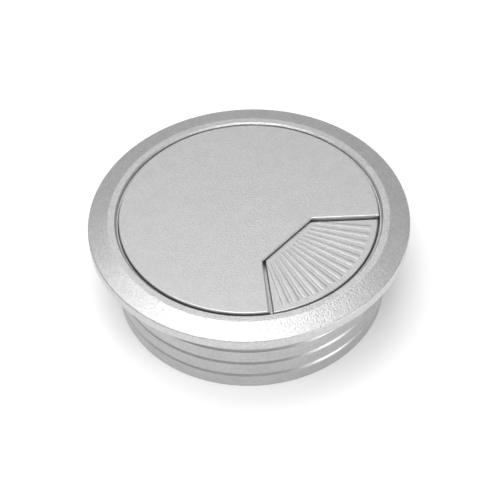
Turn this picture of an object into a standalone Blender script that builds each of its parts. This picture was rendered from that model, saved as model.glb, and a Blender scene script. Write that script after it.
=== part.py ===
"""Round desk cable grommet: a flanged sleeve, a turning cover and a finger-turned rotary shutter.

The lid (cover and shutter) drops into the flange ring and rests on its inner ledge. The cover has a
fan-shaped cable cutout, closed by the ribbed pad of the shutter. The shutter turns on the cover's
centre boss, pressed up by a wave spring that a washer and a screw hold from below.
Z runs up, and the foot of the sleeve is at zero.
"""

import math

import bmesh
import bpy

MM = 0.001

# Driving dimensions, in millimetres and degrees.
SLEEVE_RADIUS = 30.0
FLANGE_RADIUS = 35.0
TOTAL_HEIGHT = 22.3
SLEEVE_LENGTH = 18.75
RIM_EDGE_Z = 21.1
COVER_RADIUS = 28.25
FAN_HALF_ANGLE = 43.2
FAN_AXIS = -43.2
SHUTTER_TRAVEL = 82.0

# Flange ring.
SLEEVE_WALL = 1.6
FOOT_RADIUS = 29.75
GROOVE_PITCH = 4.0
GROOVE_COUNT = 4
GROOVE_WIDTH = 0.9
GROOVE_DEPTH = 0.35
LIP_RADIUS = 30.6
LIP_INNER_RADIUS = 29.15
LIP_CHAMFER = 0.35
RECESS_RADIUS = 28.8
STEP_RADIUS = 28.4
STEP_Z = 21.45
LEDGE_RADIUS = 26.2
LEDGE_Z = 19.0
LEDGE_HEIGHT = 1.4

# Cover. The plate is thinner where the shutter's pad and rim pass below it. A fan's insets are those of its
# edges at the lower and the higher azimuth.
COVER_PLATE = 1.2
COVER_THIN_PLATE = 0.45
COVER_EDGE_ROUND = 0.3
FAN_INSETS = (1.68, 1.95)
FAN_CHORD = 11.25
PASSAGE_INNER_RADIUS = 10.3
PASSAGE_START = -165.0
PASSAGE_END = -7.1
SUPPORT_INNER_RADIUS = 26.0
SUPPORT_OUTER_RADIUS = 27.1
SUPPORT_START = 4.0
SUPPORT_END = 186.0
CHANNEL_INNER_RADIUS = 27.3
COLLAR_RADIUS = 6.0
BOSS_RADIUS = 3.6
BOSS_END_Z = 17.4
SCREW_HOLE_RADIUS = 1.8
SCREW_HOLE_TOP_Z = 21.3

# Rotary shutter.
GAP = 0.3
SHUTTER_RADIUS = 28.1
SHUTTER_PLATE = 1.0
HUB_HEIGHT = 1.0
PAD_DEPTH = 0.8
PAD_RADIUS = 28.02
PAD_CHORD = 11.0
PAD_AXIS = -42.7
PAD_HALF_ANGLE = 42.7
PAD_INSETS = (2.05, 2.25)
PAD_WALL = 1.0
PAD_EDGE_ROUND = 0.15
PORT_MARGIN = 0.4
RIM_INNER_RADIUS = 27.6
RIM_DEPTH = 0.6
RIM_START = 81.0
RIM_END = 277.5
RIB_COUNT = 14
RIB_PITCH = 4.92
RIB_ANGLE = 3.5
RIB_HEIGHT = 0.25
RIB_OUTER_RADIUS = 26.65
RIB_CHORD = 12.5
RIB_EDGE_ROUND = 0.15

# Pivot stack below the cover.
SPRING_INNER_RADIUS = 3.95
SPRING_OUTER_RADIUS = 5.6
SPRING_THICKNESS = 0.3
SPRING_WAVE = 0.2
SPRING_WAVES = 3
WASHER_RADIUS = 6.0
WASHER_THICKNESS = 0.6
SCREW_RADIUS = 1.5
SCREW_HEAD_RADIUS = 2.8
SCREW_HEAD_HEIGHT = 1.8
SCREW_TIP_Z = 21.0
CROSS_WIDTH = 0.8
CROSS_LENGTH = 3.2
CROSS_DEPTH = 1.0

SEGMENTS = 72
SMALL_SEGMENTS = 36
ARC_STEP = 360.0 / SEGMENTS
SILVER = (0.62, 0.62, 0.62)
STEEL = (0.55, 0.55, 0.56)
OVERRUN = 1.0

# Heights that follow from the ones above.
SHUTTER_BOTTOM_Z = LEDGE_Z + GAP
SHUTTER_TOP_Z = SHUTTER_BOTTOM_Z + SHUTTER_PLATE
COVER_UNDERSIDE_Z = TOTAL_HEIGHT - COVER_PLATE
SUPPORT_END_Z = SHUTTER_TOP_Z + GAP
HUB_END_Z = SHUTTER_BOTTOM_Z - HUB_HEIGHT
PAD_TOP_Z = TOTAL_HEIGHT - PAD_DEPTH
WASHER_TOP_Z = BOSS_END_Z - GAP
HEAD_TOP_Z = WASHER_TOP_Z - WASHER_THICKNESS - GAP


def clear_scene():
    for obj in list(bpy.data.objects):
        bpy.data.objects.remove(obj, do_unlink=True)


def make_material(name, colour, metallic, roughness):
    material = bpy.data.materials.new(name)
    material.use_nodes = True
    shader = material.node_tree.nodes["Principled BSDF"]
    shader.inputs["Base Color"].default_value = (*colour, 1.0)
    shader.inputs["Metallic"].default_value = metallic
    shader.inputs["Roughness"].default_value = roughness
    return material


def polar(radius, degrees):
    angle = math.radians(degrees)
    return (radius * math.cos(angle), radius * math.sin(angle))


def arc(radius, start, end):
    """Points on a circle about Z from one azimuth to another, both ends included."""
    steps = max(1, math.ceil(abs(end - start) / ARC_STEP))
    return [polar(radius, start + (end - start) * i / steps) for i in range(steps + 1)]


def rounded(corners, steps=2):
    """A closed outline from (x, y, radius) corners: a corner with a radius becomes an arc of that radius."""
    points = []
    for i, (x, y, radius) in enumerate(corners):
        if not radius:
            points.append((x, y))
            continue
        before = corners[i - 1]
        after = corners[(i + 1) % len(corners)]
        to_before = math.atan2(before[1] - y, before[0] - x)
        to_after = math.atan2(after[1] - y, after[0] - x)
        turn = (to_after - to_before + math.pi) % (2 * math.pi) - math.pi
        middle = to_before + turn / 2
        reach = radius / math.sin(abs(turn) / 2)
        centre = (x + reach * math.cos(middle), y + reach * math.sin(middle))
        sweep = math.pi - abs(turn)
        side = math.copysign(1.0, turn)
        first = middle + math.pi + side * sweep / 2
        for k in range(steps + 1):
            angle = first - side * sweep * k / steps
            points.append((centre[0] + radius * math.cos(angle), centre[1] + radius * math.sin(angle)))
    return points


def new_object(name, bm, material=None):
    """A mesh object from millimetre geometry. Without a material it is a helper that stays out of renders."""
    bmesh.ops.recalc_face_normals(bm, faces=bm.faces)
    bmesh.ops.scale(bm, vec=(MM, MM, MM), verts=bm.verts)
    mesh = bpy.data.meshes.new(name)
    bm.to_mesh(mesh)
    bm.free()
    mesh.shade_smooth()
    mesh.set_sharp_from_angle(angle=math.radians(35))
    obj = bpy.data.objects.new(name, mesh)
    bpy.context.scene.collection.objects.link(obj)
    if material:
        mesh.materials.append(material)
    else:
        obj.hide_render = True
        obj.display_type = "WIRE"
    return obj


def turned(name, outline, material=None, segments=SMALL_SEGMENTS):
    """A closed (radius, z) outline spun once round Z. Points on the axis close up into one."""
    bm = bmesh.new()
    verts = [bm.verts.new((radius, 0.0, z)) for radius, z in outline]
    edges = []
    for i, vert in enumerate(verts):
        after = verts[(i + 1) % len(verts)]
        if vert.co.x > 0 or after.co.x > 0:
            edges.append(bm.edges.new((vert, after)))
    bmesh.ops.spin(
        bm, geom=verts + edges, cent=(0, 0, 0), axis=(0, 0, 1), angle=2 * math.pi, steps=segments
    )
    bmesh.ops.remove_doubles(bm, verts=bm.verts, dist=1e-4)
    return new_object(name, bm, material)


def add_prism(bm, outline, low, high, edge_round=0.0, steps=2):
    """Adds an extruded outline to bm, with its top edges rounded."""
    bottom = bm.faces.new([bm.verts.new((x, y, low)) for x, y in outline])
    grown = bmesh.ops.extrude_face_region(bm, geom=[bottom])["geom"]
    top = next(item for item in grown if isinstance(item, bmesh.types.BMFace))
    bmesh.ops.translate(bm, vec=(0, 0, high - low), verts=top.verts)
    if edge_round:
        bmesh.ops.bevel(
            bm, geom=list(top.edges), offset=edge_round, segments=steps, profile=0.5, affect="EDGES"
        )


def prism(name, outline, low, high, material=None, edge_round=0.0):
    bm = bmesh.new()
    add_prism(bm, outline, low, high, edge_round)
    return new_object(name, bm, material)


def combine(obj, other, operation):
    modifier = obj.modifiers.new(f"{operation.lower()} {other.name}", "BOOLEAN")
    modifier.object = other
    modifier.operation = operation
    modifier.solver = "EXACT"


def fan_corner(side, axis, half_angle, insets, chord):
    """The end of the fan's straight inner edge on one side, where the side edge is set in by inset."""
    half = math.radians(half_angle)
    inset = insets[side > 0]
    along = (chord - inset * math.sin(half)) / math.cos(half)
    across = along * math.sin(half) - inset * math.cos(half)
    return polar(math.hypot(chord, across), axis + side * math.degrees(math.atan2(across, chord)))


def fan_rim_azimuth(side, axis, half_angle, insets, radius):
    return axis + side * (half_angle - math.degrees(math.asin(insets[side > 0] / radius)))


def fan(radius, axis, half_angle, insets, chord):
    """Outline of a fan: an outer arc, two side edges and a straight inner edge."""
    start = fan_rim_azimuth(-1, axis, half_angle, insets, radius)
    end = fan_rim_azimuth(1, axis, half_angle, insets, radius)
    inner = [fan_corner(side, axis, half_angle, insets, chord) for side in (1, -1)]
    return arc(radius, start, end) + inner


def notched_disc(radius, axis, half_angle, insets, chord):
    """Outline of a disc with a fan cut out of it, open at the rim."""
    start = fan_rim_azimuth(1, axis, half_angle, insets, radius)
    end = fan_rim_azimuth(-1, axis, half_angle, insets, radius) + 360.0
    inner = [fan_corner(side, axis, half_angle, insets, chord) for side in (-1, 1)]
    return arc(radius, start, end) + inner


def sleeve_grooves():
    """V grooves round the sleeve, from the foot up."""
    corners = []
    for i in range(1, GROOVE_COUNT + 1):
        middle = GROOVE_PITCH * i
        corners.append((SLEEVE_RADIUS, middle - GROOVE_WIDTH / 2, 0))
        corners.append((SLEEVE_RADIUS - GROOVE_DEPTH, middle, 0))
        corners.append((SLEEVE_RADIUS, middle + GROOVE_WIDTH / 2, 0))
    return corners


def make_flange_ring(material):
    bore = SLEEVE_RADIUS - SLEEVE_WALL
    ledge_bottom = LEDGE_Z - LEDGE_HEIGHT
    corners = [
        (bore, 0.0, 0.15),
        (FOOT_RADIUS, 0.0, 0.3),
        *sleeve_grooves(),
        (SLEEVE_RADIUS, SLEEVE_LENGTH, 0.3),
        (FLANGE_RADIUS, SLEEVE_LENGTH, 0.25),
        (FLANGE_RADIUS, RIM_EDGE_Z, 0.45),
        (LIP_RADIUS, TOTAL_HEIGHT, 1.6),
        (LIP_INNER_RADIUS, TOTAL_HEIGHT, 0),
        (RECESS_RADIUS, TOTAL_HEIGHT - LIP_CHAMFER, 0),
        (RECESS_RADIUS, STEP_Z, 0),
        (STEP_RADIUS, STEP_Z, 0),
        (STEP_RADIUS, LEDGE_Z, 0),
        (LEDGE_RADIUS, LEDGE_Z, 0.2),
        (LEDGE_RADIUS, ledge_bottom, 0),
        (bore, ledge_bottom - (bore - LEDGE_RADIUS), 0),
    ]
    return turned("flange_ring", rounded(corners), material, segments=SEGMENTS)


def make_cover(material):
    outline = notched_disc(COVER_RADIUS, FAN_AXIS, FAN_HALF_ANGLE, FAN_INSETS, FAN_CHORD)
    cover = prism(
        "cover_cap", outline, COVER_UNDERSIDE_Z, TOTAL_HEIGHT, material, edge_round=COVER_EDGE_ROUND
    )
    boss = turned(
        "cover_boss_shape",
        [
            (0, COVER_UNDERSIDE_Z + COVER_PLATE / 2),
            (0, BOSS_END_Z),
            (BOSS_RADIUS, BOSS_END_Z),
            (BOSS_RADIUS, SHUTTER_TOP_Z + GAP),
            (COLLAR_RADIUS, SHUTTER_TOP_Z + GAP),
            (COLLAR_RADIUS, COVER_UNDERSIDE_Z + COVER_PLATE / 2),
        ],
    )
    combine(cover, boss, "UNION")
    support = prism(
        "cover_support_shape",
        arc(SUPPORT_INNER_RADIUS, SUPPORT_END, SUPPORT_START)
        + arc(SUPPORT_OUTER_RADIUS, SUPPORT_START, SUPPORT_END),
        SUPPORT_END_Z,
        COVER_UNDERSIDE_Z + COVER_PLATE / 2,
    )
    combine(cover, support, "UNION")
    passage = prism(
        "pad_passage_cutter",
        arc(PASSAGE_INNER_RADIUS, PASSAGE_END, PASSAGE_START)
        + arc(COVER_RADIUS + OVERRUN, PASSAGE_START, PASSAGE_END),
        COVER_UNDERSIDE_Z - OVERRUN,
        TOTAL_HEIGHT - COVER_THIN_PLATE,
    )
    combine(cover, passage, "DIFFERENCE")
    channel = turned(
        "rim_channel_cutter",
        [
            (CHANNEL_INNER_RADIUS, COVER_UNDERSIDE_Z - OVERRUN),
            (COVER_RADIUS + OVERRUN, COVER_UNDERSIDE_Z - OVERRUN),
            (COVER_RADIUS + OVERRUN, TOTAL_HEIGHT - COVER_THIN_PLATE),
            (CHANNEL_INNER_RADIUS, TOTAL_HEIGHT - COVER_THIN_PLATE),
        ],
        segments=SEGMENTS,
    )
    combine(cover, channel, "DIFFERENCE")
    hole = turned(
        "screw_hole_cutter",
        [
            (0, SCREW_HOLE_TOP_Z),
            (0, BOSS_END_Z - OVERRUN),
            (SCREW_HOLE_RADIUS, BOSS_END_Z - OVERRUN),
            (SCREW_HOLE_RADIUS, SCREW_HOLE_TOP_Z),
        ],
    )
    combine(cover, hole, "DIFFERENCE")
    return cover


def rib_outline(azimuth):
    """One finger rib of the pad: it widens outwards, and its inner end follows the pad's straight edge."""
    start = azimuth - RIB_ANGLE / 2
    end = azimuth + RIB_ANGLE / 2
    inner_start = RIB_CHORD / math.cos(math.radians(start - PAD_AXIS))
    inner_end = RIB_CHORD / math.cos(math.radians(end - PAD_AXIS))
    return [
        polar(RIB_OUTER_RADIUS, start),
        polar(RIB_OUTER_RADIUS, end),
        polar(inner_end, end),
        polar(inner_start, start),
    ]


def make_rib_shapes():
    bm = bmesh.new()
    first = PAD_AXIS - RIB_PITCH * (RIB_COUNT - 1) / 2
    for i in range(RIB_COUNT):
        add_prism(
            bm,
            rib_outline(first + RIB_PITCH * i),
            PAD_TOP_Z - RIB_HEIGHT,
            PAD_TOP_Z + RIB_HEIGHT,
            edge_round=RIB_EDGE_ROUND,
            steps=1,
        )
    return new_object("pad_rib_shapes", bm)


def make_shutter(material):
    port = {
        "axis": FAN_AXIS + SHUTTER_TRAVEL,
        "half_angle": FAN_HALF_ANGLE,
        "insets": tuple(inset - PORT_MARGIN for inset in FAN_INSETS),
        "chord": FAN_CHORD - PORT_MARGIN,
    }
    pad = {"axis": PAD_AXIS, "half_angle": PAD_HALF_ANGLE}
    shutter = prism(
        "rotary_shutter", notched_disc(SHUTTER_RADIUS, **port), SHUTTER_BOTTOM_Z, SHUTTER_TOP_Z, material
    )
    hub = turned(
        "hub_shape",
        [
            (0, SHUTTER_TOP_Z - SHUTTER_PLATE / 2),
            (0, HUB_END_Z),
            (COLLAR_RADIUS, HUB_END_Z),
            (COLLAR_RADIUS, SHUTTER_TOP_Z - SHUTTER_PLATE / 2),
        ],
    )
    combine(shutter, hub, "UNION")
    island = prism(
        "pad_shape",
        fan(PAD_RADIUS, insets=PAD_INSETS, chord=PAD_CHORD, **pad),
        SHUTTER_TOP_Z - SHUTTER_PLATE / 2,
        PAD_TOP_Z,
        edge_round=PAD_EDGE_ROUND,
    )
    combine(shutter, island, "UNION")
    combine(shutter, make_rib_shapes(), "UNION")
    rim = prism(
        "shutter_rim_shape",
        arc(RIM_INNER_RADIUS, RIM_END, RIM_START) + arc(PAD_RADIUS, RIM_START, RIM_END),
        SHUTTER_TOP_Z - SHUTTER_PLATE / 2,
        TOTAL_HEIGHT - RIM_DEPTH,
    )
    combine(shutter, rim, "UNION")
    core_insets = tuple(inset + PAD_WALL for inset in PAD_INSETS)
    core = prism(
        "pad_core_cutter",
        fan(PAD_RADIUS - PAD_WALL, insets=core_insets, chord=PAD_CHORD + PAD_WALL, **pad),
        SHUTTER_BOTTOM_Z - OVERRUN,
        PAD_TOP_Z - PAD_WALL,
    )
    combine(shutter, core, "DIFFERENCE")
    bore_radius = BOSS_RADIUS + GAP
    bore = turned(
        "hub_bore_cutter",
        [
            (0, SHUTTER_TOP_Z + OVERRUN),
            (0, HUB_END_Z - OVERRUN),
            (bore_radius, HUB_END_Z - OVERRUN),
            (bore_radius, SHUTTER_TOP_Z + OVERRUN),
        ],
    )
    combine(shutter, bore, "DIFFERENCE")
    return shutter


def make_wave_spring(material):
    """A flat ring bent into even waves, between the washer and the shutter's hub."""
    bm = bmesh.new()
    middle = (WASHER_TOP_Z + HUB_END_Z) / 2
    half = SPRING_THICKNESS / 2
    rings = []
    for i in range(SEGMENTS):
        azimuth = ARC_STEP * i
        height = middle + SPRING_WAVE * math.sin(math.radians(SPRING_WAVES * azimuth))
        inner = polar(SPRING_INNER_RADIUS, azimuth)
        outer = polar(SPRING_OUTER_RADIUS, azimuth)
        low, high = height - half, height + half
        corners = [(*inner, low), (*outer, low), (*outer, high), (*inner, high)]
        rings.append([bm.verts.new(corner) for corner in corners])
    for i, ring in enumerate(rings):
        after = rings[(i + 1) % SEGMENTS]
        for k in range(4):
            bm.faces.new((ring[k], ring[(k + 1) % 4], after[(k + 1) % 4], after[k]))
    return new_object("wave_spring", bm, material)


def make_washer(material):
    bottom = WASHER_TOP_Z - WASHER_THICKNESS
    corners = [
        (SCREW_HOLE_RADIUS, bottom, 0),
        (WASHER_RADIUS, bottom, 0.15),
        (WASHER_RADIUS, WASHER_TOP_Z, 0.15),
        (SCREW_HOLE_RADIUS, WASHER_TOP_Z, 0),
    ]
    return turned("flat_washer", rounded(corners), material)


def make_screw(material):
    head_bottom = HEAD_TOP_Z - SCREW_HEAD_HEIGHT
    corners = [
        (0, SCREW_TIP_Z, 0),
        (0, head_bottom, 0),
        (SCREW_HEAD_RADIUS, head_bottom, 0.9),
        (SCREW_HEAD_RADIUS, HEAD_TOP_Z, 0),
        (SCREW_RADIUS, HEAD_TOP_Z, 0),
        (SCREW_RADIUS, SCREW_TIP_Z - 0.4, 0),
        (SCREW_RADIUS - 0.4, SCREW_TIP_Z, 0),
    ]
    screw = turned("pivot_screw", rounded(corners, steps=3), material)
    half_width = CROSS_WIDTH / 2
    half_length = CROSS_LENGTH / 2
    cross = []
    for azimuth in (0, 90, 180, 270):
        turn = math.radians(azimuth)
        for along, across in ((half_width, -half_width), (half_length, -half_width), (half_length, half_width)):
            cross.append(
                (
                    along * math.cos(turn) - across * math.sin(turn),
                    along * math.sin(turn) + across * math.cos(turn),
                )
            )
    recess = prism("cross_recess_cutter", cross, head_bottom - OVERRUN, head_bottom + CROSS_DEPTH)
    combine(screw, recess, "DIFFERENCE")
    return screw


def main():
    clear_scene()
    make_flange_ring(make_material("flange_silver", SILVER, 0.7, 0.4))
    make_cover(make_material("cover_silver", SILVER, 0.7, 0.4))
    make_shutter(make_material("shutter_silver", SILVER, 0.7, 0.4))
    make_wave_spring(make_material("spring_steel", STEEL, 1.0, 0.3))
    make_washer(make_material("washer_steel", STEEL, 1.0, 0.3))
    make_screw(make_material("screw_steel", STEEL, 1.0, 0.3))


main()
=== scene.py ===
"""Looks of the round desk grommet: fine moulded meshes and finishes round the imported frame.

Lengths are in millimetres in the outlines and become metres when a mesh is made. Z runs up from the
sleeve's foot, and azimuths are in degrees from +X towards +Y.
"""

import math

import bmesh
import bpy
from mathutils import Matrix, Vector


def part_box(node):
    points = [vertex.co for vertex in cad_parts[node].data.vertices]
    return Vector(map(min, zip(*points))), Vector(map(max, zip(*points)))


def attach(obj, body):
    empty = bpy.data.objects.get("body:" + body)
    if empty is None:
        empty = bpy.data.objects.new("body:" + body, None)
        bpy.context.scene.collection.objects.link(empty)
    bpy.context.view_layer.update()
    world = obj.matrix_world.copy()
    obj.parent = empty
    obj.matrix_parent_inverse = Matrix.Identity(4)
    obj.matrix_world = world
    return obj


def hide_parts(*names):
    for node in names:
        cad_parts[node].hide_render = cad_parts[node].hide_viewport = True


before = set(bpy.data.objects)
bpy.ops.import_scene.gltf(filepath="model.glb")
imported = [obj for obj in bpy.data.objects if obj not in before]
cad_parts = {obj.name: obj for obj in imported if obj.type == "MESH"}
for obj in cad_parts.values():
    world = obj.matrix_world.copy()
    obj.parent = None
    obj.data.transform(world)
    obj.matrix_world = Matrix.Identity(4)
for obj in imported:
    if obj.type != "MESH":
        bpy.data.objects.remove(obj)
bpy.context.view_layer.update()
MM = 0.001


def node_box(name):
    """Lowest and highest corner of a CAD node, in millimetres."""
    low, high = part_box(name)
    return Vector(low) / MM, Vector(high) / MM


RING_HIGH = node_box("flange_ring")[1]
COVER_LOW = node_box("cover_cap")[0]
WASHER_LOW, WASHER_HIGH = node_box("flat_washer")
SCREW_LOW, SCREW_HIGH = node_box("pivot_screw")

# Heights and radii that the frame gives.
TOP_Z = RING_HIGH.z
FLANGE_RADIUS = RING_HIGH.x
BOSS_END_Z = COVER_LOW.z

# Flange ring.
SLEEVE_RADIUS = 30.0
SLEEVE_WALL = 1.6
FOOT_RADIUS = 29.75
SLEEVE_LENGTH = 18.75
RIM_EDGE_Z = 21.1
LIP_RADIUS = 30.6
LIP_INNER_RADIUS = 29.15
LIP_CHAMFER = 0.35
RECESS_RADIUS = 28.8
STEP_RADIUS = 28.4
STEP_Z = 21.45
LEDGE_RADIUS = 26.2
LEDGE_Z = 19.0
LEDGE_HEIGHT = 1.4
GROOVE_PITCH = 4.0
GROOVE_COUNT = 4
GROOVE_WIDTH = 0.9
GROOVE_DEPTH = 0.35

# Cover.
COVER_RADIUS = 28.25
COVER_PLATE = 1.2
COVER_THIN_PLATE = 0.45
COVER_EDGE_ROUND = 0.3
FAN_AXIS = -43.2
FAN_HALF_ANGLE = 43.2
FAN_INSETS = (1.68, 1.95)
FAN_CHORD = 11.25
FAN_CORNER_ROUND = 0.35
PASSAGE_INNER_RADIUS = 10.3
PASSAGE_START = -165.0
PASSAGE_END = -7.1
SUPPORT_INNER_RADIUS = 26.0
SUPPORT_OUTER_RADIUS = 27.1
SUPPORT_START = 4.0
SUPPORT_END = 186.0
CHANNEL_INNER_RADIUS = 27.3
COLLAR_RADIUS = 6.0
BOSS_RADIUS = 3.6
SCREW_HOLE_RADIUS = 1.8
SCREW_HOLE_TOP_Z = 21.3

# Shutter.
GAP = 0.3
SHUTTER_RADIUS = 28.1
SHUTTER_PLATE = 1.0
SHUTTER_TRAVEL = 82.0
HUB_HEIGHT = 1.0
PAD_TOP_Z = 21.5
PAD_RADIUS = 28.02
PAD_CHORD = 11.0
PAD_AXIS = -42.7
PAD_HALF_ANGLE = 42.7
PAD_INSETS = (2.05, 2.25)
PAD_WALL = 1.0
PAD_EDGE_ROUND = 0.3
PAD_CORNER_ROUND = 0.5
PORT_MARGIN = 0.4
RIM_INNER_RADIUS = 27.6
RIM_DEPTH = 0.6
RIM_START = 81.0
RIM_END = 277.5
RIB_COUNT = 14
RIB_PITCH = 4.92
RIB_ANGLE = 3.5
RIB_HEIGHT = 0.16
RIB_OUTER_RADIUS = 26.65
RIB_CHORD = 12.5
RIB_END_SLOPE = 0.25
# Section of a rib: share of its half width, and share of its height. It starts below the pad's face.
RIB_SECTION = (
    (-1.0, -1.0),
    (-1.0, -0.01),
    (-0.88, 0.72),
    (-0.5, 0.92),
    (0.0, 1.0),
    (0.5, 0.92),
    (0.88, 0.72),
    (1.0, -0.01),
    (1.0, -1.0),
)

SHUTTER_BOTTOM_Z = LEDGE_Z + GAP
SHUTTER_TOP_Z = SHUTTER_BOTTOM_Z + SHUTTER_PLATE
COVER_UNDERSIDE_Z = TOP_Z - COVER_PLATE
SUPPORT_END_Z = SHUTTER_TOP_Z + GAP
HUB_END_Z = SHUTTER_BOTTOM_Z - HUB_HEIGHT

# Pivot stack.
SPRING_INNER_RADIUS = 3.95
SPRING_OUTER_RADIUS = 5.6
SPRING_THICKNESS = 0.3
SPRING_WAVE = 0.2
SPRING_WAVES = 3
SCREW_RADIUS = 1.5
SCREW_HEAD_RADIUS = 2.8
SCREW_HEAD_HEIGHT = 1.8
THREAD_PITCH = 0.9
THREAD_DEPTH = 0.28
CROSS_WIDTH = 0.8
CROSS_LENGTH = 3.2
CROSS_DEPTH = 1.0
THREAD_STEPS = 48
THREAD_FADE_STEPS = 16
THREAD_FADED_DEPTH = 0.02
THREAD_SINK = 0.15
THREAD_HALF_BASE = 0.38
THREAD_HALF_CREST = 0.05

# How finely shapes are cut, and how far a cutter reaches past what it cuts.
SEGMENTS = 288
SMALL_SEGMENTS = 96
SCREW_SEGMENTS = 64
ARC_STEP = 360.0 / SEGMENTS
SHARP_ANGLE = 35.0
OVERRUN = 1.0
# A spin of 288 steps ends about 0.0003 from where it began. A finer weld would leave that seam open.
SEAM_WELD = 1e-3


# Outlines.


def polar(radius, degrees):
    angle = math.radians(degrees)
    return (radius * math.cos(angle), radius * math.sin(angle))


def arc(radius, start, end):
    """Points on a circle about Z from one azimuth to another, both ends included."""
    steps = max(1, math.ceil(abs(end - start) / ARC_STEP))
    return [polar(radius, start + (end - start) * i / steps) for i in range(steps + 1)]


def rounded(corners, steps=4):
    """A closed outline from (x, y, radius) corners: a corner with a radius becomes an arc of that radius."""
    points = []
    for i, (x, y, radius) in enumerate(corners):
        if not radius:
            points.append((x, y))
            continue
        before = corners[i - 1]
        after = corners[(i + 1) % len(corners)]
        to_before = math.atan2(before[1] - y, before[0] - x)
        to_after = math.atan2(after[1] - y, after[0] - x)
        turn = (to_after - to_before + math.pi) % (2 * math.pi) - math.pi
        middle = to_before + turn / 2
        reach = radius / math.sin(abs(turn) / 2)
        centre = (x + reach * math.cos(middle), y + reach * math.sin(middle))
        sweep = math.pi - abs(turn)
        side = math.copysign(1.0, turn)
        first = middle + math.pi + side * sweep / 2
        for k in range(steps + 1):
            angle = first - side * sweep * k / steps
            points.append((centre[0] + radius * math.cos(angle), centre[1] + radius * math.sin(angle)))
    return points


def fan_corner(side, axis, half_angle, insets, chord):
    """The end of the fan's straight inner edge on one side, where the side edge is set in by inset."""
    half = math.radians(half_angle)
    inset = insets[side > 0]
    along = (chord - inset * math.sin(half)) / math.cos(half)
    across = along * math.sin(half) - inset * math.cos(half)
    return polar(math.hypot(chord, across), axis + side * math.degrees(math.atan2(across, chord)))


def fan_rim_azimuth(side, axis, half_angle, insets, radius):
    return axis + side * (half_angle - math.degrees(math.asin(insets[side > 0] / radius)))


def with_corners(points, radius):
    """The outer arc's points as they are, and the last two of the outline with a corner radius."""
    flat = [(x, y, 0) for x, y in points[:-2]]
    return rounded(flat + [(x, y, radius) for x, y in points[-2:]])


def fan(radius, axis, half_angle, insets, chord, corner_round=0.0):
    """Outline of a fan: an outer arc, two side edges and a straight inner edge."""
    start = fan_rim_azimuth(-1, axis, half_angle, insets, radius)
    end = fan_rim_azimuth(1, axis, half_angle, insets, radius)
    inner = [fan_corner(side, axis, half_angle, insets, chord) for side in (1, -1)]
    return with_corners(arc(radius, start, end) + inner, corner_round)


def notched_disc(radius, axis, half_angle, insets, chord, corner_round=0.0):
    """Outline of a disc with a fan cut out of it, open at the rim."""
    start = fan_rim_azimuth(1, axis, half_angle, insets, radius)
    end = fan_rim_azimuth(-1, axis, half_angle, insets, radius) + 360.0
    inner = [fan_corner(side, axis, half_angle, insets, chord) for side in (-1, 1)]
    return with_corners(arc(radius, start, end) + inner, corner_round)


# Meshes.


def new_object(name, bm, material=None):
    """A mesh object from millimetre geometry. Without a material it is a hidden cutter or building shape."""
    bmesh.ops.recalc_face_normals(bm, faces=bm.faces)
    bmesh.ops.scale(bm, vec=(MM, MM, MM), verts=bm.verts)
    mesh = bpy.data.meshes.new(name)
    bm.to_mesh(mesh)
    bm.free()
    obj = bpy.data.objects.new(name, mesh)
    bpy.context.scene.collection.objects.link(obj)
    if material:
        mesh.materials.append(material)
    else:
        obj.hide_render = True
        obj.hide_viewport = True
    return obj


def turned(name, outline, material=None, segments=SMALL_SEGMENTS):
    """A closed (radius, z) outline spun once round Z. Points on the axis close up into one."""
    bm = bmesh.new()
    verts = [bm.verts.new((radius, 0.0, z)) for radius, z in outline]
    edges = []
    for i, vert in enumerate(verts):
        after = verts[(i + 1) % len(verts)]
        if vert.co.x > 0 or after.co.x > 0:
            edges.append(bm.edges.new((vert, after)))
    bmesh.ops.spin(
        bm, geom=verts + edges, cent=(0, 0, 0), axis=(0, 0, 1), angle=2 * math.pi, steps=segments
    )
    bmesh.ops.remove_doubles(bm, verts=bm.verts, dist=SEAM_WELD)
    return new_object(name, bm, material)


def add_prism(bm, outline, low, high, edge_round=0.0, steps=4):
    """Adds an extruded outline to bm, with its top edges rounded."""
    bottom = bm.faces.new([bm.verts.new((x, y, low)) for x, y in outline])
    grown = bmesh.ops.extrude_face_region(bm, geom=[bottom])["geom"]
    top = next(item for item in grown if isinstance(item, bmesh.types.BMFace))
    bmesh.ops.translate(bm, vec=(0, 0, high - low), verts=top.verts)
    if edge_round:
        bmesh.ops.bevel(
            bm, geom=list(top.edges), offset=edge_round, segments=steps, profile=0.5, affect="EDGES"
        )


def prism(name, outline, low, high, material=None, edge_round=0.0):
    bm = bmesh.new()
    add_prism(bm, outline, low, high, edge_round)
    return new_object(name, bm, material)


def combine(obj, other, operation):
    modifier = obj.modifiers.new(f"{operation.lower()} {other.name}", "BOOLEAN")
    modifier.object = other
    modifier.operation = operation
    modifier.solver = "EXACT"


def settle(obj):
    """Applies the modifiers, removes the hidden helper shapes and shades the mesh."""
    graph = bpy.context.evaluated_depsgraph_get()
    mesh = bpy.data.meshes.new_from_object(obj.evaluated_get(graph))
    for modifier in list(obj.modifiers):
        helper = getattr(modifier, "object", None)
        if helper:
            bpy.data.objects.remove(helper, do_unlink=True)
        obj.modifiers.remove(modifier)
    obj.data = mesh
    mesh.shade_smooth()
    mesh.set_sharp_from_angle(angle=math.radians(SHARP_ANGLE))
    weighted = obj.modifiers.new("even shading", "WEIGHTED_NORMAL")
    weighted.keep_sharp = True
    return obj


# Finishes.


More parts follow.
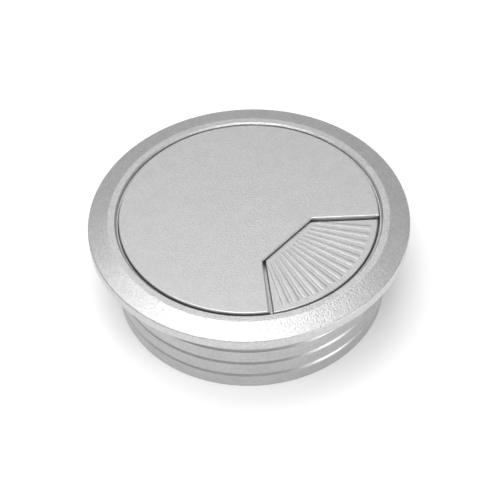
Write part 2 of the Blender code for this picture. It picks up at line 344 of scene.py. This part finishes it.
class Nodes:
    """Short calls for building one material's node tree."""

    def __init__(self, name):
        self.material = bpy.data.materials.new(name)
        self.material.use_nodes = True
        self.tree = self.material.node_tree
        self.shader = self.tree.nodes["Principled BSDF"]
        self.place = self.add("ShaderNodeTexCoord").outputs["Object"]

    def add(self, kind, **settings):
        node = self.tree.nodes.new(kind)
        for key, value in settings.items():
            setattr(node, key, value)
        return node

    def link(self, source, target):
        self.tree.links.new(source, target)

    def stretched(self, scale):
        """Object coordinates scaled per axis."""
        node = self.add("ShaderNodeMapping")
        node.inputs["Scale"].default_value = scale
        self.link(self.place, node.inputs["Vector"])
        return node.outputs["Vector"]

    def noise(self, per_mm, detail=2.0, where=None):
        """Fractal noise with about that many grains to the millimetre."""
        node = self.add("ShaderNodeTexNoise")
        node.inputs["Scale"].default_value = per_mm / MM
        node.inputs["Detail"].default_value = detail
        self.link(where or self.place, node.inputs["Vector"])
        return node.outputs["Fac"]

    def cells(self, per_mm):
        """One random value for each cell, with about that many cells to the millimetre."""
        node = self.add("ShaderNodeTexVoronoi")
        node.inputs["Scale"].default_value = per_mm / MM
        self.link(self.place, node.inputs["Vector"])
        return node.outputs["Color"]

    def ranged(self, value, low, high, start=0.0, end=1.0):
        node = self.add("ShaderNodeMapRange")
        self.link(value, node.inputs["Value"])
        for key, number in (("From Min", start), ("From Max", end), ("To Min", low), ("To Max", high)):
            node.inputs[key].default_value = number
        return node.outputs["Result"]

    def math(self, operation, first, second):
        node = self.add("ShaderNodeMath", operation=operation)
        for socket, value in zip(node.inputs, (first, second)):
            if isinstance(value, (int, float)):
                socket.default_value = value
            else:
                self.link(value, socket)
        return node.outputs["Value"]

    def grey(self, value):
        """A neutral colour from one value."""
        node = self.add("ShaderNodeCombineColor")
        for socket in node.inputs[:3]:
            self.link(value, socket)
        return node.outputs["Color"]

    def bump(self, height, depth_mm, after=None):
        node = self.add("ShaderNodeBump")
        node.inputs["Distance"].default_value = depth_mm * MM
        node.inputs["Strength"].default_value = 1.0
        self.link(height, node.inputs["Height"])
        if after:
            self.link(after, node.inputs["Normal"])
        return node.outputs["Normal"]


LACQUER_GREY = 0.56
LACQUER_METALLIC = 0.9
LACQUER_ROUGHNESS = 0.42
LACQUER_ROUGHNESS_SPREAD = 0.05
FLAKE_SPREAD = 0.085
FLAKES_PER_MM = 3.2
FLAKE_RELIEF = 0.004
SHEEN_GRAINS_PER_MM = 2.2
MOULDED_GRAINS_PER_MM = 2.6
CLOUDS_PER_MM = 0.35
CLOUD_SPREAD = 0.015
STREAKS_PER_MM = 0.02
STREAK_STRETCH = (1.0, 1.0, 220.0)
STEEL_LINES_PER_MM = 1.0
STEEL_STRETCH = (1.0, 1.0, 12.0)
STEEL_RELIEF = 0.004
# Fractal noise seldom leaves this range.
NOISE_RANGE = (0.3, 0.7)


def silver_lacquer(
    name,
    grain_mm,
    flake=FLAKE_SPREAD,
    base=LACQUER_GREY,
    roughness=LACQUER_ROUGHNESS,
    streaks=0.0,
):
    """Satin silver lacquer: aluminium flakes over a fine moulded grain."""
    nodes = Nodes(name)
    flakes = nodes.cells(FLAKES_PER_MM)
    fine = nodes.noise(SHEEN_GRAINS_PER_MM, detail=3.0)
    cloud = nodes.noise(CLOUDS_PER_MM, detail=2.0)
    speckle = nodes.ranged(flakes, -flake / 2, flake / 2)
    clouding = nodes.ranged(cloud, -CLOUD_SPREAD, CLOUD_SPREAD, *NOISE_RANGE)
    shade = nodes.math("ADD", speckle, clouding)
    if streaks:
        bands = nodes.noise(STREAKS_PER_MM, detail=4.0, where=nodes.stretched(STREAK_STRETCH))
        shade = nodes.math("ADD", shade, nodes.ranged(bands, -streaks, streaks, *NOISE_RANGE))
    nodes.link(nodes.grey(nodes.math("ADD", shade, base)), nodes.shader.inputs["Base Color"])
    nodes.shader.inputs["Metallic"].default_value = LACQUER_METALLIC
    low = roughness - LACQUER_ROUGHNESS_SPREAD
    high = roughness + LACQUER_ROUGHNESS_SPREAD
    nodes.link(nodes.ranged(fine, low, high, *NOISE_RANGE), nodes.shader.inputs["Roughness"])
    moulded = nodes.bump(nodes.noise(MOULDED_GRAINS_PER_MM, detail=2.0), grain_mm)
    nodes.link(nodes.bump(flakes, FLAKE_RELIEF, after=moulded), nodes.shader.inputs["Normal"])
    return nodes.material


def steel(name, grey, roughness):
    """Plain bright steel with fine rolled or turned lines."""
    nodes = Nodes(name)
    lines = nodes.noise(STEEL_LINES_PER_MM, detail=3.0, where=nodes.stretched(STEEL_STRETCH))
    shade = nodes.ranged(lines, grey - 0.05, grey + 0.05, *NOISE_RANGE)
    nodes.link(nodes.grey(shade), nodes.shader.inputs["Base Color"])
    nodes.shader.inputs["Metallic"].default_value = 1.0
    dullness = nodes.ranged(lines, roughness - 0.06, roughness + 0.08, *NOISE_RANGE)
    nodes.link(dullness, nodes.shader.inputs["Roughness"])
    nodes.link(nodes.bump(lines, STEEL_RELIEF), nodes.shader.inputs["Normal"])
    return nodes.material


# Pieces.


def sleeve_grooves():
    """V grooves round the sleeve, from the foot up, with eased lips and root."""
    corners = []
    for i in range(1, GROOVE_COUNT + 1):
        middle = GROOVE_PITCH * i
        corners.append((SLEEVE_RADIUS, middle - GROOVE_WIDTH / 2, 0.06))
        corners.append((SLEEVE_RADIUS - GROOVE_DEPTH, middle, 0.05))
        corners.append((SLEEVE_RADIUS, middle + GROOVE_WIDTH / 2, 0.06))
    return corners


def make_flange_ring(flange_finish, sleeve_finish_shaded):
    """The ring turned in one piece from (radius, z, corner radius) rows."""
    bore = SLEEVE_RADIUS - SLEEVE_WALL
    ledge_bottom = LEDGE_Z - LEDGE_HEIGHT
    corners = [
        (bore, 0.0, 0.15),
        (FOOT_RADIUS, 0.0, 0.3),
        *sleeve_grooves(),
        (SLEEVE_RADIUS, SLEEVE_LENGTH, 0.3),
        (FLANGE_RADIUS, SLEEVE_LENGTH, 0.25),
        (FLANGE_RADIUS, RIM_EDGE_Z, 0.45),
        (LIP_RADIUS, TOP_Z, 1.6),
        (LIP_INNER_RADIUS, TOP_Z, 0.07),
        (RECESS_RADIUS, TOP_Z - LIP_CHAMFER, 0.07),
        (RECESS_RADIUS, STEP_Z, 0.07),
        (STEP_RADIUS, STEP_Z, 0.08),
        (STEP_RADIUS, LEDGE_Z, 0.15),
        (LEDGE_RADIUS, LEDGE_Z, 0.2),
        (LEDGE_RADIUS, ledge_bottom, 0.2),
        (bore, ledge_bottom - (bore - LEDGE_RADIUS), 0.5),
    ]
    ring = settle(turned("flange_ring_moulding", rounded(corners), flange_finish, segments=SEGMENTS))
    # Faces below the flange take the sleeve lacquer, whose darker base grey is painted shade.
    ring.data.materials.append(sleeve_finish_shaded)
    for face in ring.data.polygons:
        face.material_index = int(face.center.z < (SLEEVE_LENGTH - 0.2) * MM)
    return ring


def make_cover(finish):
    outline = notched_disc(
        COVER_RADIUS, FAN_AXIS, FAN_HALF_ANGLE, FAN_INSETS, FAN_CHORD, FAN_CORNER_ROUND
    )
    cover = prism("cover_cap_moulding", outline, COVER_UNDERSIDE_Z, TOP_Z, finish, COVER_EDGE_ROUND)
    middle = COVER_UNDERSIDE_Z + COVER_PLATE / 2
    boss = turned(
        "cover_boss_shape",
        rounded(
            [
                (0, middle, 0),
                (0, BOSS_END_Z, 0),
                (BOSS_RADIUS, BOSS_END_Z, 0.2),
                (BOSS_RADIUS, SUPPORT_END_Z, 0),
                (COLLAR_RADIUS, SUPPORT_END_Z, 0.15),
                (COLLAR_RADIUS, middle, 0),
            ]
        ),
    )
    combine(cover, boss, "UNION")
    support = prism(
        "cover_support_shape",
        arc(SUPPORT_INNER_RADIUS, SUPPORT_END, SUPPORT_START)
        + arc(SUPPORT_OUTER_RADIUS, SUPPORT_START, SUPPORT_END),
        SUPPORT_END_Z,
        middle,
    )
    combine(cover, support, "UNION")
    passage = prism(
        "pad_passage_cutter",
        arc(PASSAGE_INNER_RADIUS, PASSAGE_END, PASSAGE_START)
        + arc(COVER_RADIUS + OVERRUN, PASSAGE_START, PASSAGE_END),
        COVER_UNDERSIDE_Z - OVERRUN,
        TOP_Z - COVER_THIN_PLATE,
    )
    combine(cover, passage, "DIFFERENCE")
    channel = turned(
        "rim_channel_cutter",
        [
            (CHANNEL_INNER_RADIUS, COVER_UNDERSIDE_Z - OVERRUN),
            (COVER_RADIUS + OVERRUN, COVER_UNDERSIDE_Z - OVERRUN),
            (COVER_RADIUS + OVERRUN, TOP_Z - COVER_THIN_PLATE),
            (CHANNEL_INNER_RADIUS, TOP_Z - COVER_THIN_PLATE),
        ],
        segments=SEGMENTS,
    )
    combine(cover, channel, "DIFFERENCE")
    hole = turned(
        "screw_hole_cutter",
        [
            (0, SCREW_HOLE_TOP_Z),
            (0, BOSS_END_Z - OVERRUN),
            (SCREW_HOLE_RADIUS, BOSS_END_Z - OVERRUN),
            (SCREW_HOLE_RADIUS, SCREW_HOLE_TOP_Z),
        ],
    )
    combine(cover, hole, "DIFFERENCE")
    return settle(cover)


def add_rib(bm, azimuth):
    """One finger rib: a low crowned bar that widens outwards and slopes down at both ends."""
    rows = []
    for end, height in ((0.0, 0.0), (RIB_END_SLOPE, 1.0), (-RIB_END_SLOPE, 1.0), (0.0, 0.0)):
        outer = len(rows) > 1
        row = []
        for across, share in RIB_SECTION:
            side = azimuth + across * RIB_ANGLE / 2
            inner_radius = (RIB_CHORD + end) / math.cos(math.radians(side - PAD_AXIS))
            radius = RIB_OUTER_RADIUS + end if outer else inner_radius
            rise = share * height if share > 0 else share
            row.append(bm.verts.new((*polar(radius, side), PAD_TOP_Z + RIB_HEIGHT * rise)))
        rows.append(row)
    count = len(RIB_SECTION)
    for before, after in zip(rows, rows[1:]):
        for k in range(count):
            n = (k + 1) % count
            bm.faces.new((before[k], before[n], after[n], after[k]))
    bm.faces.new(rows[0])
    bm.faces.new(rows[-1])


def make_rib_shapes():
    bm = bmesh.new()
    first = PAD_AXIS - RIB_PITCH * (RIB_COUNT - 1) / 2
    for i in range(RIB_COUNT):
        add_rib(bm, first + RIB_PITCH * i)
    return new_object("pad_rib_shapes", bm)


def make_shutter(finish):
    port = {
        "axis": FAN_AXIS + SHUTTER_TRAVEL,
        "half_angle": FAN_HALF_ANGLE,
        "insets": tuple(inset - PORT_MARGIN for inset in FAN_INSETS),
        "chord": FAN_CHORD - PORT_MARGIN,
        "corner_round": FAN_CORNER_ROUND,
    }
    pad = {"axis": PAD_AXIS, "half_angle": PAD_HALF_ANGLE, "corner_round": PAD_CORNER_ROUND}
    middle = SHUTTER_TOP_Z - SHUTTER_PLATE / 2
    shutter = prism(
        "shutter_moulding",
        notched_disc(SHUTTER_RADIUS, **port),
        SHUTTER_BOTTOM_Z,
        SHUTTER_TOP_Z,
        finish,
        edge_round=0.1,
    )
    hub = turned(
        "hub_shape",
        rounded(
            [
                (0, middle, 0),
                (0, HUB_END_Z, 0),
                (COLLAR_RADIUS, HUB_END_Z, 0.2),
                (COLLAR_RADIUS, middle, 0),
            ]
        ),
    )
    combine(shutter, hub, "UNION")
    island = prism(
        "pad_shape",
        fan(PAD_RADIUS, insets=PAD_INSETS, chord=PAD_CHORD, **pad),
        middle,
        PAD_TOP_Z,
        edge_round=PAD_EDGE_ROUND,
    )
    combine(shutter, island, "UNION")
    combine(shutter, make_rib_shapes(), "UNION")
    rim = prism(
        "shutter_rim_shape",
        arc(RIM_INNER_RADIUS, RIM_END, RIM_START) + arc(PAD_RADIUS, RIM_START, RIM_END),
        middle,
        TOP_Z - RIM_DEPTH,
        edge_round=0.1,
    )
    combine(shutter, rim, "UNION")
    core_insets = tuple(inset + PAD_WALL for inset in PAD_INSETS)
    core = prism(
        "pad_core_cutter",
        fan(PAD_RADIUS - PAD_WALL, insets=core_insets, chord=PAD_CHORD + PAD_WALL, **pad),
        SHUTTER_BOTTOM_Z - OVERRUN,
        PAD_TOP_Z - PAD_WALL,
    )
    combine(shutter, core, "DIFFERENCE")
    bore_radius = BOSS_RADIUS + GAP
    bore = turned(
        "hub_bore_cutter",
        [
            (0, SHUTTER_TOP_Z + OVERRUN),
            (0, HUB_END_Z - OVERRUN),
            (bore_radius, HUB_END_Z - OVERRUN),
            (bore_radius, SHUTTER_TOP_Z + OVERRUN),
        ],
    )
    combine(shutter, bore, "DIFFERENCE")
    return settle(shutter)


def make_wave_spring(finish):
    """A flat ring bent into even waves, with eased edges, between the washer and the shutter's hub."""
    bm = bmesh.new()
    middle = (WASHER_HIGH.z + HUB_END_Z) / 2
    half = SPRING_THICKNESS / 2
    section = rounded(
        [
            (SPRING_INNER_RADIUS, -half, 0.08),
            (SPRING_OUTER_RADIUS, -half, 0.08),
            (SPRING_OUTER_RADIUS, half, 0.08),
            (SPRING_INNER_RADIUS, half, 0.08),
        ],
        steps=3,
    )
    rings = []
    for i in range(SMALL_SEGMENTS):
        azimuth = 360.0 * i / SMALL_SEGMENTS
        height = middle + SPRING_WAVE * math.sin(math.radians(SPRING_WAVES * azimuth))
        rings.append([bm.verts.new((*polar(radius, azimuth), height + z)) for radius, z in section])
    for i, ring in enumerate(rings):
        after = rings[(i + 1) % SMALL_SEGMENTS]
        for k in range(len(ring)):
            n = (k + 1) % len(ring)
            bm.faces.new((ring[k], ring[n], after[n], after[k]))
    return settle(new_object("wave_spring_strip", bm, finish))


def make_washer(finish):
    corners = [
        (SCREW_HOLE_RADIUS, WASHER_LOW.z, 0.08),
        (WASHER_HIGH.x, WASHER_LOW.z, 0.15),
        (WASHER_HIGH.x, WASHER_HIGH.z, 0.15),
        (SCREW_HOLE_RADIUS, WASHER_HIGH.z, 0.08),
    ]
    return settle(turned("flat_washer_blank", rounded(corners), finish))


def make_screw(finish):
    """A pan head screw with a cross recess and a cut thread on its shank."""
    head_bottom = SCREW_LOW.z
    head_top = head_bottom + SCREW_HEAD_HEIGHT
    tip = SCREW_HIGH.z
    root = SCREW_RADIUS - THREAD_DEPTH
    corners = [
        (0, tip, 0),
        (0, head_bottom, 0),
        (SCREW_HEAD_RADIUS, head_bottom, 0.9),
        (SCREW_HEAD_RADIUS, head_top, 0.15),
        (root, head_top, 0.1),
        (root, tip - 0.4, 0.1),
        (root - 0.3, tip, 0),
    ]
    screw = turned("pivot_screw_threaded", rounded(corners), finish, segments=SCREW_SEGMENTS)
    half_width = CROSS_WIDTH / 2
    half_length = CROSS_LENGTH / 2
    cross = []
    for azimuth in (0, 90, 180, 270):
        turn = Matrix.Rotation(math.radians(azimuth), 2)
        arm = ((half_width, -half_width), (half_length, -half_width), (half_length, half_width))
        for along, across in arm:
            cross.append(tuple(turn @ Vector((along, across))))
    recess = prism("cross_recess_cutter", cross, head_bottom - OVERRUN, head_bottom + CROSS_DEPTH)
    combine(screw, recess, "DIFFERENCE")
    combine(screw, make_thread(head_top + 0.3, tip - 0.5, root), "UNION")
    return settle(screw)


def make_thread(low, high, root):
    """A helical ridge of triangular section that fades out at both ends."""
    bm = bmesh.new()
    steps = round((high - low - THREAD_PITCH) / THREAD_PITCH * THREAD_STEPS)
    rows = []
    for i in range(steps + 1):
        azimuth = 360.0 * i / THREAD_STEPS
        centre = low + THREAD_PITCH / 2 + THREAD_PITCH * i / THREAD_STEPS
        fade = min(1.0, i / THREAD_FADE_STEPS, (steps - i) / THREAD_FADE_STEPS)
        crest = root + THREAD_FADED_DEPTH + (THREAD_DEPTH - THREAD_FADED_DEPTH) * fade
        section = (
            (root - THREAD_SINK, -THREAD_HALF_BASE),
            (crest, -THREAD_HALF_CREST),
            (crest, THREAD_HALF_CREST),
            (root - THREAD_SINK, THREAD_HALF_BASE),
        )
        rows.append([bm.verts.new((*polar(radius, azimuth), centre + z)) for radius, z in section])
    for before, after in zip(rows, rows[1:]):
        for k in range(4):
            n = (k + 1) % 4
            bm.faces.new((before[k], before[n], after[n], after[k]))
    bm.faces.new(rows[0])
    bm.faces.new(rows[-1])
    return new_object("thread_shape", bm)


# Stage: floor, lights and camera.


FLOOR_GLOW = 0.08
FLOOR_GREYS = (0.89, 0.91)
FLOOR_RADIUS = 4000.0
WHITE = (1.0, 1.0, 1.0, 1.0)


def make_floor():
    """A pale floor that glows a little, as a light table does."""
    nodes = Nodes("pale_floor")
    shade = nodes.ranged(nodes.noise(0.01, detail=2.0), *FLOOR_GREYS, *NOISE_RANGE)
    nodes.link(nodes.grey(shade), nodes.shader.inputs["Base Color"])
    nodes.shader.inputs["Roughness"].default_value = 0.9
    nodes.shader.inputs["Specular IOR Level"].default_value = 0.2
    nodes.shader.inputs["Emission Color"].default_value = WHITE
    nodes.shader.inputs["Emission Strength"].default_value = FLOOR_GLOW
    bm = bmesh.new()
    bmesh.ops.create_circle(bm, cap_ends=True, segments=96, radius=FLOOR_RADIUS)
    floor = new_object("floor", bm, nodes.material)


SOFTBOX_SIZE = 0.45
SOFTBOX_DISTANCE = 1.0
WORLD_STRENGTH = 0.448


def make_softbox(name, azimuth, elevation, power):
    """A square area light aimed at the frame's origin. Azimuth 0 is at +X, and 90 at the back."""
    light = bpy.data.lights.new(name, "AREA")
    light.shape = "SQUARE"
    light.size = SOFTBOX_SIZE
    light.energy = power
    obj = bpy.data.objects.new(name, light)
    flat = SOFTBOX_DISTANCE * math.cos(math.radians(elevation))
    height = SOFTBOX_DISTANCE * math.sin(math.radians(elevation))
    obj.location = (*polar(flat, azimuth), height)
    obj.rotation_euler = obj.location.to_track_quat("Z", "Y").to_euler()
    bpy.context.scene.collection.objects.link(obj)


def make_lights():
    """Five softboxes above, a low one at the right front, and a pale surround."""
    rig = (
        ("overhead_softbox", 90.0, 86.0, 1.95),
        ("back_softbox", 90.0, 62.0, 0.84),
        ("back_left_softbox", 150.0, 62.0, 1.09),
        ("front_left_softbox", 210.0, 62.0, 1.89),
        ("front_softbox", 270.0, 62.0, 3.24),
        ("low_right_softbox", 325.0, 15.0, 2.2),
    )
    for name, azimuth, elevation, power in rig:
        make_softbox(name, azimuth, elevation, power)
    world = bpy.data.worlds.new("pale_surround")
    world.use_nodes = True
    background = world.node_tree.nodes["Background"]
    background.inputs["Color"].default_value = WHITE
    background.inputs["Strength"].default_value = WORLD_STRENGTH
    bpy.context.scene.world = world


CAMERA_ELEVATION = 47.14
CAMERA_ROLL = 2.36
CAMERA_DISTANCE = 0.373
CAMERA_TARGET_Z = 0.0110
CAMERA_LENS = 121.24


def make_camera():
    """A long lens from the front and above, rolled a little."""
    camera = bpy.data.cameras.new("camera")
    camera.lens = CAMERA_LENS
    camera.sensor_width = 36.0
    obj = bpy.data.objects.new("camera", camera)
    elevation = math.radians(CAMERA_ELEVATION)
    back = Vector((0.0, -math.cos(elevation), math.sin(elevation)))
    obj.location = Vector((0.0, 0.0, CAMERA_TARGET_Z)) + back * CAMERA_DISTANCE
    aim = back.to_track_quat("Z", "Y").to_matrix()
    obj.rotation_euler = (aim @ Matrix.Rotation(math.radians(-CAMERA_ROLL), 3, "Z")).to_euler()
    bpy.context.scene.collection.objects.link(obj)
    bpy.context.scene.camera = obj


def place(piece, body, node):
    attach(piece, body)
    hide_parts(node)


make_camera()
make_floor()
make_lights()
bpy.context.scene.view_settings.view_transform = "Standard"

top_lacquer = silver_lacquer("silver_lacquer_grained", grain_mm=0.05)
rim_lacquer = silver_lacquer("silver_lacquer_coarse", grain_mm=0.08, flake=0.14)
# The sleeve's lacquer is smoother, finer grained and faintly streaked; its darker base grey (0.48 against
# 0.56) is painted shade for the dimmer light on the sleeve below the flange.
sleeve_lacquer_shaded = silver_lacquer(
    "silver_lacquer_smooth_painted_shade", grain_mm=0.02, base=0.48, roughness=0.35, streaks=0.02
)
place(make_flange_ring(rim_lacquer, sleeve_lacquer_shaded), "ring", "flange_ring")
place(make_cover(top_lacquer), "cover", "cover_cap")
place(make_shutter(top_lacquer), "shutter", "rotary_shutter")
place(make_wave_spring(steel("bright_spring_steel", 0.55, 0.28)), "spring", "wave_spring")
place(make_washer(steel("zinc_plated_washer", 0.6, 0.32)), "cover", "flat_washer")
place(make_screw(steel("zinc_plated_screw", 0.62, 0.3)), "cover", "pivot_screw")
